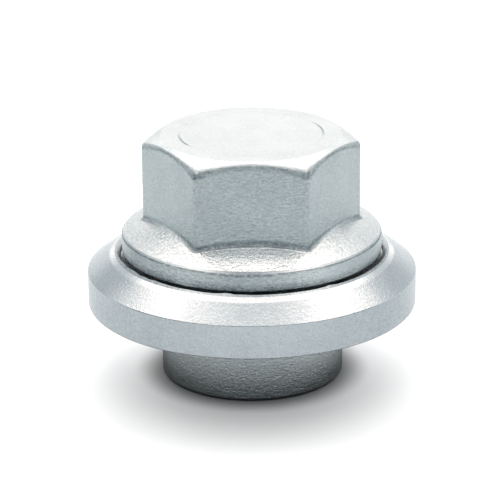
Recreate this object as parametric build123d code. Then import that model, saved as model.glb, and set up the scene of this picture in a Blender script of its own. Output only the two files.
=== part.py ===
from build123d import *
import math
import os

# Closed-end wheel lug nut with a loose captive washer.
# Millimetres and degrees. The origin is the centre of the shank's end face and +Z runs up the
# nut's axis to the crown. One flat of the hexagon faces -Y.

# Hexagon head
HEX_ACROSS_FLATS = 22.0
HEX_CORNER_ROUND = 0.8
HEX_FOOT_FILLET = 0.25

# Crown
OVERALL_HEIGHT = 28.9
CROWN_FLAT_INSET = 0.3          # from the hexagon's flat to the edge of the level top
CROWN_CHAMFER_ANGLE = 29.5
CROWN_EDGE_ROUND = 0.5
CROWN_GROOVE_DIAMETER = 16.6
CROWN_GROOVE_WIDTH = 0.28
CROWN_GROOVE_DEPTH = 0.16

# Conical flange
FLANGE_DIAMETER = 30.2
FLANGE_FOOT_HEIGHT = 15.12
FLANGE_RIM_HEIGHT = 1.86
FLANGE_FOOT_BREAK = 0.2
FLANGE_EDGE_BREAK = 0.15
FLANGE_LIP_WIDTH = 0.5
FLANGE_LIP_ANGLE = 35.5
FLANGE_LIP_STEP = 0.03
FLANGE_CONE_ANGLE = 27.8
SEAT_ANGLE = 12.0

# Shank and the rolled bead that keeps the washer on
SHANK_DIAMETER = 21.2
SHANK_END_BREAK = 0.45
SHANK_ROOT_BREAK = 0.3
BEAD_HEIGHT = 0.8
BEAD_PROUD = 0.45
BEAD_FLANK = 0.28               # height of each sloping flank

# Blind bore: threaded length at the major diameter, then the drilled tail
THREAD_MAJOR_DIAMETER = 14.0
THREAD_PITCH = 1.5
THREAD_DEPTH_RATIO = 0.5413     # depth of an internal metric thread over its pitch
BORE_MOUTH_DIAMETER = 16.2
CLOSED_END_THICKNESS = 3.3
DRILL_POINT_ANGLE = 118.0
DRILL_TAIL_LENGTH = 2.0

# Captive washer
WASHER_DIAMETER = 38.28
WASHER_UNDERSIDE_HEIGHT = 8.78
WASHER_WALL_HEIGHT = 3.95
WASHER_FOOT_BREAK = 0.3
WASHER_BEVEL_ANGLE = 36.0
WASHER_SHOULDER_DIAMETER = 33.0  # where the bevel eases into the flatter shoulder
WASHER_SHOULDER_ANGLE = 27.0
WASHER_CREST_DIAMETER = 31.9
WASHER_LEDGE_STEP = 0.05        # from the crest down to the ledge beside the flange
WASHER_EDGE_BREAK = 0.08
WASHER_BORE_BREAK = 0.35
WASHER_MOUTH_BREAK = 0.3

# Clearances between nut and washer
WASHER_BORE_CLEARANCE = 0.2
BEAD_SIDE_CLEARANCE = 0.25
BEAD_TOP_CLEARANCE = 0.1
BEAD_FOOT_INSET = 0.1
FLANGE_RIM_CLEARANCE = 0.15
WASHER_FLOAT = 0.8              # free travel along the shank before the two seats meet


def tangent(angle):
    """Tangent of an angle in degrees."""
    return math.tan(math.radians(angle))


def rz(radius, height):
    """A point of a half section: radius along X, height along Z."""
    return Vector(radius, 0, height)


def turned(*edges):
    """A solid of revolution about Z from the closed edges of its half section."""
    return revolve(make_face(edges), axis=Axis.Z)


# Sizes that both pieces share
shank_radius = SHANK_DIAMETER / 2
flange_radius = FLANGE_DIAMETER / 2
bead_foot = WASHER_UNDERSIDE_HEIGHT + BEAD_FOOT_INSET
bead_top = bead_foot + BEAD_HEIGHT
bead_radius = shank_radius + BEAD_PROUD


def flange_seat_height(radius):
    """Height of the flange's conical underside at a radius."""
    return FLANGE_FOOT_HEIGHT - (flange_radius - radius) * tangent(SEAT_ANGLE)


def washer_seat_height(radius):
    """Height of the washer's conical seat at a radius, with the washer down on its bead."""
    return flange_seat_height(radius) - WASHER_FLOAT


def flange_and_shank():
    """Flange, shank and retaining bead as one turned blank."""
    rim_top = FLANGE_FOOT_HEIGHT + FLANGE_RIM_HEIGHT
    lip_radius = flange_radius - FLANGE_LIP_WIDTH
    lip_height = rim_top + FLANGE_LIP_WIDTH * tangent(FLANGE_LIP_ANGLE)
    cone_foot = lip_height + FLANGE_LIP_STEP
    core_radius = THREAD_MAJOR_DIAMETER / 2
    core_height = cone_foot + (lip_radius - core_radius) * tangent(FLANGE_CONE_ANGLE)
    seat_root = flange_seat_height(shank_radius)
    section = make_face(
        [
            Line(rz(0, 0), rz(shank_radius, 0)),
            Line(rz(shank_radius, 0), rz(shank_radius, bead_foot)),
            Line(rz(shank_radius, bead_foot), rz(bead_radius, bead_foot + BEAD_FLANK)),
            Line(rz(bead_radius, bead_foot + BEAD_FLANK), rz(bead_radius, bead_top - BEAD_FLANK)),
            Line(rz(bead_radius, bead_top - BEAD_FLANK), rz(shank_radius, bead_top)),
            Line(rz(shank_radius, bead_top), rz(shank_radius, seat_root)),
            Line(rz(shank_radius, seat_root), rz(flange_radius, FLANGE_FOOT_HEIGHT)),
            Line(rz(flange_radius, FLANGE_FOOT_HEIGHT), rz(flange_radius, rim_top)),
            Line(rz(flange_radius, rim_top), rz(lip_radius, lip_height)),
            Line(rz(lip_radius, lip_height), rz(lip_radius, cone_foot)),
            Line(rz(lip_radius, cone_foot), rz(core_radius, core_height)),
            Line(rz(core_radius, core_height), rz(0, core_height)),
            Line(rz(0, core_height), rz(0, 0)),
        ]
    )

    def corner(radius, height):
        """The section's corner at a place."""
        return section.vertices().sort_by_distance(rz(radius, height))[0]

    for radius, height, size in (
        (shank_radius, 0, SHANK_END_BREAK),
        (shank_radius, seat_root, SHANK_ROOT_BREAK),
        (flange_radius, FLANGE_FOOT_HEIGHT, FLANGE_FOOT_BREAK),
        (flange_radius, rim_top, FLANGE_EDGE_BREAK),
    ):
        section = chamfer(corner(radius, height), size)
    return revolve(section, axis=Axis.Z)


def hex_head():
    """Hexagon with rounded corners, its crown turned to a chamfer and a level top."""
    foot = FLANGE_FOOT_HEIGHT + FLANGE_RIM_HEIGHT / 2
    corner_radius = HEX_ACROSS_FLATS / 2 / math.cos(math.radians(30))
    outline = RegularPolygon(corner_radius, 6, rotation=0)
    outline = fillet(outline.vertices(), HEX_CORNER_ROUND)
    prism = Pos(0, 0, foot) * extrude(outline, OVERALL_HEIGHT - foot)

    flat_radius = HEX_ACROSS_FLATS / 2 - CROWN_FLAT_INSET
    outer_radius = corner_radius + HEX_CORNER_ROUND
    chamfer_foot = OVERALL_HEIGHT - (outer_radius - flat_radius) * tangent(CROWN_CHAMFER_ANGLE)
    section = make_face(
        [
            Line(rz(0, foot), rz(outer_radius, foot)),
            Line(rz(outer_radius, foot), rz(outer_radius, chamfer_foot)),
            Line(rz(outer_radius, chamfer_foot), rz(flat_radius, OVERALL_HEIGHT)),
            Line(rz(flat_radius, OVERALL_HEIGHT), rz(0, OVERALL_HEIGHT)),
            Line(rz(0, OVERALL_HEIGHT), rz(0, foot)),
        ]
    )
    edge = section.vertices().sort_by_distance(rz(flat_radius, OVERALL_HEIGHT))[0]
    crown = revolve(fillet(edge, CROWN_EDGE_ROUND), axis=Axis.Z)
    return prism & crown


def crown_groove():
    """The shallow turned groove, a V in section, that rings the middle of the crown."""
    middle = CROWN_GROOVE_DIAMETER / 2
    half = CROWN_GROOVE_WIDTH / 2
    floor = OVERALL_HEIGHT - CROWN_GROOVE_DEPTH
    top = OVERALL_HEIGHT + CROWN_GROOVE_DEPTH
    return turned(
        Line(rz(middle - half, OVERALL_HEIGHT), rz(middle, floor)),
        Line(rz(middle, floor), rz(middle + half, OVERALL_HEIGHT)),
        Line(rz(middle + half, OVERALL_HEIGHT), rz(middle + half, top)),
        Line(rz(middle + half, top), rz(middle - half, top)),
        Line(rz(middle - half, top), rz(middle - half, OVERALL_HEIGHT)),
    )


def blind_bore():
    """Mouth chamfer, threaded length, drilled tail and drill point, as the shape to cut."""
    major = THREAD_MAJOR_DIAMETER / 2
    minor = major - THREAD_DEPTH_RATIO * THREAD_PITCH
    mouth = BORE_MOUTH_DIAMETER / 2
    tip = OVERALL_HEIGHT - CLOSED_END_THICKNESS
    tail_top = tip - minor / tangent(DRILL_POINT_ANGLE / 2)
    thread_top = tail_top - DRILL_TAIL_LENGTH
    runout = thread_top - (major - minor)
    return turned(
        Line(rz(0, 0), rz(mouth, 0)),
        Line(rz(mouth, 0), rz(major, mouth - major)),
        Line(rz(major, mouth - major), rz(major, runout)),
        Line(rz(major, runout), rz(minor, thread_top)),
        Line(rz(minor, thread_top), rz(minor, tail_top)),
        Line(rz(minor, tail_top), rz(0, tip)),
        Line(rz(0, tip), rz(0, 0)),
    )


def nut_body():
    """The forged nut: head, flange, shank and bore in one piece."""
    blank = flange_and_shank()
    head = hex_head()
    body = blank + head
    body = fillet(new_edges(blank, head, combined=body), HEX_FOOT_FILLET)
    return body - crown_groove() - blind_bore()


def captive_washer():
    """The loose ring: flat foot, upright wall, wide bevel, shoulder, ledge and dished seat."""
    outer = WASHER_DIAMETER / 2
    bore = shank_radius + WASHER_BORE_CLEARANCE
    pocket = bead_radius + BEAD_SIDE_CLEARANCE
    pocket_top = bead_top + BEAD_TOP_CLEARANCE
    foot = WASHER_UNDERSIDE_HEIGHT
    wall_top = foot + WASHER_WALL_HEIGHT
    shoulder = WASHER_SHOULDER_DIAMETER / 2
    shoulder_top = wall_top + (outer - shoulder) * tangent(WASHER_BEVEL_ANGLE)
    crest = WASHER_CREST_DIAMETER / 2
    crest_top = shoulder_top + (shoulder - crest) * tangent(WASHER_SHOULDER_ANGLE)
    lip = flange_radius + FLANGE_RIM_CLEARANCE
    ledge = crest_top - WASHER_LEDGE_STEP
    section = make_face(
        [
            Line(rz(pocket, foot), rz(outer, foot)),
            Line(rz(outer, foot), rz(outer, wall_top)),
            Line(rz(outer, wall_top), rz(shoulder, shoulder_top)),
            Line(rz(shoulder, shoulder_top), rz(crest, crest_top)),
            Line(rz(crest, crest_top), rz(crest, ledge)),
            Line(rz(crest, ledge), rz(lip, ledge)),
            Line(rz(lip, ledge), rz(lip, washer_seat_height(lip))),
            Line(rz(lip, washer_seat_height(lip)), rz(bore, washer_seat_height(bore))),
            Line(rz(bore, washer_seat_height(bore)), rz(bore, pocket_top)),
            Line(rz(bore, pocket_top), rz(pocket, pocket_top)),
            Line(rz(pocket, pocket_top), rz(pocket, foot)),
        ]
    )

    def corner(radius, height):
        """The section's corner at a place."""
        return section.vertices().sort_by_distance(rz(radius, height))[0]

    for radius, height, size in (
        (outer, foot, WASHER_FOOT_BREAK),
        (outer, wall_top, WASHER_EDGE_BREAK),
        (lip, ledge, WASHER_EDGE_BREAK),
        (bore, washer_seat_height(bore), WASHER_BORE_BREAK),
        (pocket, foot, WASHER_MOUTH_BREAK),
    ):
        section = chamfer(corner(radius, height), size)
    return revolve(section, axis=Axis.Z)


os.makedirs("parts", exist_ok=True)
export_step(nut_body(), "parts/nut_body.step")
export_step(captive_washer(), "parts/captive_washer.step")
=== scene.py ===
"""Closed-end wheel lug nut with a loose captive washer, dressed for a studio picture.

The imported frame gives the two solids. Each gets a finer skin of the same form, with soft edges
and forging relief, and the bore gets its real thread. Sizes are the real ones in millimetres and
become metres where a mesh, lamp or camera is made. The hexagon's front flat faces -Y.
"""

import logging
import math
from dataclasses import dataclass, field
from enum import Enum
from typing import Any

import bpy
import numpy as np
from mathutils import Matrix, Vector


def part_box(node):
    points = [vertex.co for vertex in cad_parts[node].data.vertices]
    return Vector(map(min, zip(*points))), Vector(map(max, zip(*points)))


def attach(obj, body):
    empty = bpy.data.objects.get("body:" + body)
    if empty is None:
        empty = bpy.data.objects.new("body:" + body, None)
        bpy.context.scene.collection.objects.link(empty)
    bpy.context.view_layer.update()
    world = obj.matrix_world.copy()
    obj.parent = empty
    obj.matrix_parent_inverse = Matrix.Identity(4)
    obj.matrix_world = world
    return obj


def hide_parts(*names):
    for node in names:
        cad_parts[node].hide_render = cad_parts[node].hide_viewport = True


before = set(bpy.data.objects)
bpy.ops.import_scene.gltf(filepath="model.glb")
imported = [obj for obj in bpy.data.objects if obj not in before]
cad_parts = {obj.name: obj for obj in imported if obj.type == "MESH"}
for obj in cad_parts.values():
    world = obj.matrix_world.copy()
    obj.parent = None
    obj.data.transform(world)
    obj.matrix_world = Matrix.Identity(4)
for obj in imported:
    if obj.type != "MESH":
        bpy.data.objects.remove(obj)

LOG = logging.getLogger("lug_nut")
MM = 0.001
TURN = 2 * math.pi
HEX_SIDES = 6
FLAT_TURN = 360 / HEX_SIDES  # degrees from one flat of the hexagon to the next
FRONT = -90.0  # degrees round the axis to the camera's side, with 0 at +X
WAVE_LENGTHS = (0.6, 1.8)  # shortest and longest wave of a relief, as shares of its spacing
ON_AXIS = 1e-6  # millimetres between neighbours below which a point lies on the axis
NO_STEP = 1e-8  # square millimetres below which two points are one
WHITE = "#FFFFFF"
WARM_LAMP = "#FFE6DA"
CLIP_START, CLIP_END = 0.01, 20.0  # metres from the camera between which things are drawn


class Body(Enum):
    """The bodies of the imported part."""

    NUT = "nut"
    WASHER = "washer"


class Slot(Enum):
    """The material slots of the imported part."""

    NUT_STEEL = "nut_steel"
    WASHER_STEEL = "washer_steel"


class Surface(Enum):
    """How a stretch of a section was made, as the value that its material reads.

    The coat lies on forged dimples at 0, on turned steel at 1 and on a mix of both between them.
    """

    FORGED = 0.0
    BLASTED = 0.7
    TURNED = 1.0


def srgb(colour: str) -> tuple[float, float, float, float]:
    """Turns an sRGB hex colour to linear light.

    Args:
        colour: the colour as #RRGGBB.

    Returns:
        Red, green, blue and alpha, each from 0 to 1.
    """
    levels = np.array([int(colour[k : k + 2], 16) for k in (1, 3, 5)]) / 255
    linear = np.where(levels <= 0.04045, levels / 12.92, ((levels + 0.055) / 1.055) ** 2.4)
    return (*linear.tolist(), 1.0)


def add_node(
    tree: bpy.types.NodeTree,
    kind: str,
    inputs: dict[str | int, Any] | None = None,
    **settings: Any,
) -> bpy.types.Node:
    """Adds one node with its settings and what feeds it.

    Args:
        tree: the node tree that gets it.
        kind: Blender's name for the type of node.
        inputs: for each input socket, an output socket to link or a value to set.
        **settings: the node's own properties.

    Returns:
        The new node.
    """
    node = tree.nodes.new(kind)
    for name, value in settings.items():
        setattr(node, name, value)
    for name, value in (inputs or {}).items():
        if isinstance(value, bpy.types.NodeSocket):
            tree.links.new(value, node.inputs[name])
        else:
            node.inputs[name].default_value = value
    return node


def clear_tree(holder: bpy.types.Material | bpy.types.World) -> bpy.types.NodeTree:
    """Turns on the nodes of a material or of the world and empties its tree.

    Args:
        holder: the material or the world.

    Returns:
        The empty tree.
    """
    holder.use_nodes = True
    holder.node_tree.nodes.clear()
    return holder.node_tree


@dataclass(frozen=True)
class Spread:
    """How a noise becomes an amount.

    Attributes:
        reach: how far the noise usually strays from one half.
        low: the amount at the low end of that reach.
        high: the amount at the high end.
    """

    reach: float
    low: float
    high: float


@dataclass(frozen=True)
class Patterns:
    """The patterns of a coat, as sockets of its node tree.

    Attributes:
        flakes: the fine grain of the flakes.
        clouds: broad, faint unevenness.
        pebbles: the blasting dimples.
        marks: the rings left by the turning tool.
        turned: how the steel below was made, from 0 forged to 1 turned.
        tone: painted light and shade, from about -1 for painted shade to 1 for painted highlight.
        painted_light: the painted highlight, the part of the tone above 0.
    """

    flakes: bpy.types.NodeSocket
    clouds: bpy.types.NodeSocket
    pebbles: bpy.types.NodeSocket
    marks: bpy.types.NodeSocket
    turned: bpy.types.NodeSocket
    tone: bpy.types.NodeSocket
    painted_light: bpy.types.NodeSocket


@dataclass(frozen=True)
class FlakeCoat:
    """Zinc and aluminium flake coat, dip-spun and baked on blasted steel.

    The flakes lie almost flat in a clear binder, so it reads as a satin silver metal with a fine
    sparkle, a little cooler than bare steel, and it follows the pebbled or turned steel below.
    Lengths are millimetres.

    Attributes:
        name: the material's name.
        slot: the record's slot that it is meant for; not used.
        colour: the coat where it lies even.
        shade: the coat where flakes bunch.
        painted_shade: the darker colour painted as shade in creases, along forged edges and in
            other shaded places.
        painted_highlight: the paler colour painted as highlight.
        bunching: share of the shade that the flakes bring.
        clouding: share of the shade that the clouds bring.
        pitting: share of the shade that the dimples bring, most in their middles.
        turned_pitting: how much of that is left on turned steel.
        fraying: strength of the painted shade, uneven so that its edges are ragged.
        roughness: the middle roughness.
        uneven_gloss: how the flakes change it.
        highlight_gloss: how much less rough the coat is under the painted highlight.
        flake: size of a bunch of flakes; real flakes are ten times finer and wouldn't show.
        flake_height: relief of the flakes.
        cloud: size of the broad, faint patches.
        pebble: spacing of the blasting dimples on forged steel.
        pebble_height: depth of those dimples.
        pebble_flatness: how much wider than high they are.
        pebble_curl: how far their outlines are drawn out of round.
        turned_relief: share of their depth that is left on turned steel.
        highlight_relief: share of their depth that is left under the painted highlight.
        tool_feed: spacing of the tool marks on turned steel, drawn twice as coarse as they are.
        tool_height: depth of those marks.
    """

    name: str
    slot: Slot
    colour: str = "#BDC6CA"
    shade: str = "#A8B1B5"
    # The next two colours are painted shade and painted highlight, which the tone mixes in.
    painted_shade: str = "#67747B"
    painted_highlight: str = "#DEE6E8"
    bunching: Spread = Spread(0.2, -0.1, 0.4)
    clouding: Spread = Spread(0.15, -0.1, 0.25)
    pitting: Spread = Spread(0.15, 0.7, -0.1)
    turned_pitting: float = 0.35
    fraying: Spread = Spread(0.15, -1.2, -0.5)
    roughness: float = 0.36
    uneven_gloss: Spread = Spread(0.2, -0.05, 0.05)
    highlight_gloss: float = 0.12
    flake: float = 0.16
    flake_height: float = 0.0022
    cloud: float = 4.545
    pebble: float = 0.42
    pebble_height: float = 0.14
    pebble_flatness: float = 1.7
    pebble_curl: float = 0.8
    turned_relief: float = 0.17
    highlight_relief: float = 0.45
    tool_feed: float = 0.22
    tool_height: float = 0.002

    def material(self) -> bpy.types.Material:
        """Builds the coat's material.

        Returns:
            The material, with patterns on Object coordinates in millimetres.
        """
        made = bpy.data.materials.new(self.name)
        tree = clear_tree(made)
        seen = self.patterns(tree)
        shader = add_node(
            tree,
            "ShaderNodeBsdfPrincipled",
            {
                "Base Color": self.colouring(tree, seen),
                "Metallic": 1.0,
                "Roughness": self.gloss(tree, seen),
                "Normal": self.relief(tree, seen),
            },
        )
        add_node(tree, "ShaderNodeOutputMaterial", {"Surface": shader.outputs["BSDF"]})
        return made

    def patterns(self, tree: bpy.types.NodeTree) -> Patterns:
        """Adds the noises, and reads what the mesh says of its own surface.

        Args:
            tree: the material's tree.

        Returns:
            The patterns.
        """
        place = add_node(tree, "ShaderNodeTexCoord").outputs["Object"]
        point, flattened = (
            add_node(
                tree,
                "ShaderNodeMapping",
                {"Vector": place, "Scale": (1 / MM, 1 / MM, rise / MM)},
            ).outputs["Vector"]
            for rise in (1.0, self.pebble_flatness)
        )
        turned, tone = (
            add_node(
                tree, "ShaderNodeAttribute", attribute_type="GEOMETRY", attribute_name=name
            ).outputs["Fac"]
            for name in ("turned", "tone")
        )
        flakes = add_node(
            tree,
            "ShaderNodeTexNoise",
            {"Vector": point, "Scale": 1 / self.flake, "Detail": 2.0, "Roughness": 0.6},
        ).outputs["Fac"]
        clouds = add_node(
            tree, "ShaderNodeTexNoise", {"Vector": point, "Scale": 1 / self.cloud, "Detail": 3.0}
        ).outputs["Fac"]
        pebbles = add_node(
            tree,
            "ShaderNodeTexNoise",
            {
                "Vector": flattened,
                "Scale": 1 / self.pebble,
                "Detail": 3.0,
                "Roughness": 0.5,
                "Distortion": self.pebble_curl,
            },
        ).outputs["Fac"]
        # The tone above 0 is painted highlight; below 0 it is painted shade.
        painted_light = add_node(
            tree, "ShaderNodeMath", {0: tone, 1: 1.0}, operation="MULTIPLY", use_clamp=True
        ).outputs["Value"]
        marks = self.tool_marks(tree, point)
        return Patterns(flakes, clouds, pebbles, marks, turned, tone, painted_light)

    def tool_marks(
        self, tree: bpy.types.NodeTree, point: bpy.types.NodeSocket
    ) -> bpy.types.NodeSocket:
        """Adds the turning tool's rings: noise read at radius and height, so the same all round.

        Args:
            tree: the material's tree.
            point: the place in millimetres.

        Returns:
            The rings.
        """
        flat = add_node(
            tree, "ShaderNodeVectorMath", {0: point, 1: (1.0, 1.0, 0.0)}, operation="MULTIPLY"
        ).outputs["Vector"]
        radius = add_node(
            tree, "ShaderNodeVectorMath", {0: flat}, operation="LENGTH"
        ).outputs["Value"]
        height = add_node(tree, "ShaderNodeSeparateXYZ", {"Vector": point}).outputs["Z"]
        ring = add_node(tree, "ShaderNodeCombineXYZ", {"X": radius, "Y": height}).outputs["Vector"]
        return add_node(
            tree,
            "ShaderNodeTexNoise",
            {"Vector": ring, "Scale": 1 / self.tool_feed, "Detail": 1.0},
            noise_dimensions="2D",
        ).outputs["Fac"]

    def colouring(self, tree: bpy.types.NodeTree, seen: Patterns) -> bpy.types.NodeSocket:
        """Mixes the coat's colour: shaded by the patterns, with painted shade and painted
        highlight.

        Args:
            tree: the material's tree.
            seen: the coat's patterns.

        Returns:
            The colour.
        """
        bunched, cloudy, pits, frayed = (
            add_node(
                tree,
                "ShaderNodeMapRange",
                {
                    "Value": noise,
                    "From Min": 0.5 - spread.reach,
                    "From Max": 0.5 + spread.reach,
                    "To Min": spread.low,
                    "To Max": spread.high,
                },
            ).outputs["Result"]
            for noise, spread in (
                (seen.flakes, self.bunching),
                (seen.clouds, self.clouding),
                (seen.pebbles, self.pitting),
                (seen.pebbles, self.fraying),
            )
        )
        pit_share = add_node(
            tree,
            "ShaderNodeMapRange",
            {"Value": seen.turned, "To Min": 1.0, "To Max": self.turned_pitting},
        ).outputs["Result"]
        pitted = add_node(
            tree, "ShaderNodeMath", {0: pits, 1: pit_share, 2: bunched}, operation="MULTIPLY_ADD"
        ).outputs["Value"]
        shaded = add_node(
            tree, "ShaderNodeMath", {0: pitted, 1: cloudy}, operation="ADD", use_clamp=True
        ).outputs["Value"]
        # Painted shade where the tone is below 0, ragged at its edges.
        painted_shade_share = add_node(
            tree, "ShaderNodeMath", {0: seen.tone, 1: frayed}, operation="MULTIPLY", use_clamp=True
        ).outputs["Value"]
        # The patterns' shade, then the painted shade and the painted highlight.
        colour = srgb(self.colour)
        for share, other in (
            (shaded, self.shade),
            (painted_shade_share, self.painted_shade),
            (seen.painted_light, self.painted_highlight),
        ):
            colour = add_node(
                tree,
                "ShaderNodeMix",
                {"Factor": share, "A": colour, "B": srgb(other)},
                data_type="RGBA",
            ).outputs["Result"]
        return colour

    def gloss(self, tree: bpy.types.NodeTree, seen: Patterns) -> bpy.types.NodeSocket:
        """Works out the roughness, uneven with the flakes and lower under the painted highlight.

        Args:
            tree: the material's tree.
            seen: the coat's patterns.

        Returns:
            The roughness.
        """
        spread = self.uneven_gloss
        uneven = add_node(
            tree,
            "ShaderNodeMapRange",
            {
                "Value": seen.flakes,
                "From Min": 0.5 - spread.reach,
                "From Max": 0.5 + spread.reach,
                "To Min": self.roughness + spread.low,
                "To Max": self.roughness + spread.high,
            },
        ).outputs["Result"]
        return add_node(
            tree,
            "ShaderNodeMath",
            {0: seen.painted_light, 1: -self.highlight_gloss, 2: uneven},
            operation="MULTIPLY_ADD",
        ).outputs["Value"]

    def relief(self, tree: bpy.types.NodeTree, seen: Patterns) -> bpy.types.NodeSocket:
        """Adds up the heights of flakes, dimples and tool marks, in metres, as one bump.

        Args:
            tree: the material's tree.
            seen: the coat's patterns.

        Returns:
            The bumped normal.
        """
        depth = self.pebble_height * MM
        # The dimples are shallower under the painted highlight.
        steel, highlight_share = (
            add_node(
                tree, "ShaderNodeMapRange", {"Value": value, "To Min": first, "To Max": last}
            ).outputs["Result"]
            for value, first, last in (
                (seen.turned, depth, self.turned_relief * depth),
                (seen.painted_light, 1.0, self.highlight_relief),
            )
        )
        dimple = add_node(
            tree, "ShaderNodeMath", {0: steel, 1: highlight_share}, operation="MULTIPLY"
        ).outputs["Value"]
        groove = add_node(
            tree, "ShaderNodeMath", {0: seen.turned, 1: self.tool_height * MM}, operation="MULTIPLY"
        ).outputs["Value"]
        height = add_node(
            tree,
            "ShaderNodeMath",
            {0: seen.flakes, 1: self.flake_height * MM},
            operation="MULTIPLY",
        ).outputs["Value"]
        for pattern, size in ((seen.pebbles, dimple), (seen.marks, groove)):
            height = add_node(
                tree, "ShaderNodeMath", {0: pattern, 1: size, 2: height}, operation="MULTIPLY_ADD"
            ).outputs["Value"]
        return add_node(
            tree, "ShaderNodeBump", {"Strength": 1.0, "Distance": 1.0, "Height": height}
        ).outputs["Normal"]


def unit(vectors: np.ndarray) -> np.ndarray:
    """The vectors brought to length 1 along their last axis."""
    return vectors / np.linalg.norm(vectors, axis=-1, keepdims=True)


@dataclass
class Corner:
    """A corner of a half section and the straight run that follows it.

    Attributes:
        r: radius, one number or one for each column of the grid.
        z: height, likewise.
        rounding: radius of the corner's arc, likewise.
        arc: steps round the arc.
        run: steps along the run to the next corner's arc.
        surface: how the run was made.
        tone: the painted light and shade at the corner's first step, at its last step and along
        the run, each one number or one for each column, from about -1 for painted shade to 1
        for painted highlight.
    """

    r: float | np.ndarray
    z: float | np.ndarray
    rounding: float | np.ndarray = 0.0
    arc: int = 4
    run: int = 1
    surface: Surface = Surface.TURNED
    tone: tuple[float | np.ndarray, ...] = (0.0, 0.0, 0.0)

    def trace(
        self, before: np.ndarray, here: np.ndarray, after: np.ndarray
    ) -> tuple[np.ndarray, np.ndarray]:
        """Rounds the corner with an arc that touches both runs.

        An arc of radius R touches both runs at R / tan(half the corner's angle) from the corner.
        Its centre lies on the bisector at R / sin(half the angle), and its points turn evenly
        from one touching point to the other.

        Args:
            before: place of the corner before, for each column.
            here: place of this corner, likewise.
            after: place of the next corner, likewise.

        Returns:
            The arc's points, steps by columns by two, and the section's unit direction at each.
        """
        back, ahead = unit(before - here), unit(after - here)
        half = np.arccos(np.clip((back * ahead).sum(-1), -1, 1)) / 2
        centre = here + unit(back + ahead) * (self.rounding / np.sin(half))[:, None]
        reach = (self.rounding / np.tan(half))[:, None]
        first = here + back * reach - centre
        last = here + ahead * reach - centre
        turn = math.pi - 2 * half
        share = np.linspace(0, 1, self.arc + 1)[:, None]
        blend_first = (np.sin((1 - share) * turn) / np.sin(turn))[..., None]
        blend_last = (np.sin(share * turn) / np.sin(turn))[..., None]
        spokes = blend_first * first + blend_last * last
        side = np.sign(back[:, 0] * ahead[:, 1] - back[:, 1] * ahead[:, 0])[None, :, None]
        along = np.stack([-spokes[..., 1], spokes[..., 0]], -1) * -side
        return centre + spokes, unit(along)


@dataclass
class Section:
    """A half section traced point by point, for every column of a grid at once.

    Attributes:
        points: radius and height, rows by columns by two.
        along: the section's unit direction at each point.
        turned: the surface value of each point, rows by columns.
        tone: the painted light and shade, likewise.
    """

    points: np.ndarray
    along: np.ndarray
    turned: np.ndarray
    tone: np.ndarray

    @classmethod
    def trace(cls, corners: list[Corner], columns: int, ring: bool) -> "Section":
        """Rounds each corner and spaces points evenly along each run.

        Args:
            corners: the section's corners in order.
            columns: number of columns in the grid.
            ring: True for a closed section, False for one from axis to axis.

        Returns:
            The traced section.
        """
        at = np.stack(
            [
                np.stack([np.broadcast_to(c.r, columns), np.broadcast_to(c.z, columns)], -1)
                for c in corners
            ]
        ).astype(float)
        count = len(corners)
        arcs: list[tuple[np.ndarray, np.ndarray]] = []
        for k, corner in enumerate(corners):
            before, here, after = at[k - 1], at[k], at[(k + 1) % count]
            if ring or 0 < k < count - 1:
                arcs.append(corner.trace(before, here, after))
            else:
                direction = unit(after - here if k == 0 else here - before)
                arcs.append((here[None], direction[None]))

        points, directions, turned, tone = [], [], [], []
        for k, corner in enumerate(corners):
            arc_points, arc_along = arcs[k]
            surface_before = corners[k - 1].surface if k else corner.surface
            points.append(arc_points)
            directions.append(arc_along)
            change = np.linspace(surface_before.value, corner.surface.value, len(arc_points))
            turned.append(np.tile(change[:, None], columns))
            first, last, run_tone = (np.broadcast_to(value, columns) for value in corner.tone)
            tone.append(np.linspace(first, last, len(arc_points)))
            if (k == count - 1 and not ring) or corner.run < 2:
                continue
            start, end = arc_points[-1], arcs[(k + 1) % count][0][0]
            share = np.linspace(0, 1, corner.run + 1)[1:-1, None, None]
            points.append(start + share * (end - start))
            directions.append(np.broadcast_to(arc_along[-1], (corner.run - 1, columns, 2)))
            turned.append(np.full((corner.run - 1, columns), corner.surface.value))
            tone.append(np.tile(run_tone, (corner.run - 1, 1)))
        return cls(*(np.concatenate(rows) for rows in (points, directions, turned, tone)))


def wave_relief(points: np.ndarray, spacing: float, seed: int, waves: int = 40) -> np.ndarray:
    """An uneven relief that is the same each run: many sine waves of random direction added up.

    Each wave is the sine of the distance along its direction, in turns of its own length, plus
    its phase. Their sum is divided by the root of twice their number.

    Args:
        points: places in millimetres, with three numbers in the last axis.
        spacing: the middle wavelength in millimetres.
        seed: seed of the random directions, lengths and phases.
        waves: how many waves are added.

    Returns:
        The relief at each place, from about -1 to 1.
    """
    chance = np.random.default_rng(seed)
    direction = chance.normal(size=(3, waves))
    direction /= np.linalg.norm(direction, axis=0)
    length = spacing * chance.uniform(*WAVE_LENGTHS, waves)
    phase = chance.uniform(0, TURN, waves)
    return np.sin(points @ (direction * TURN / length) + phase).sum(-1) / math.sqrt(2 * waves)


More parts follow.
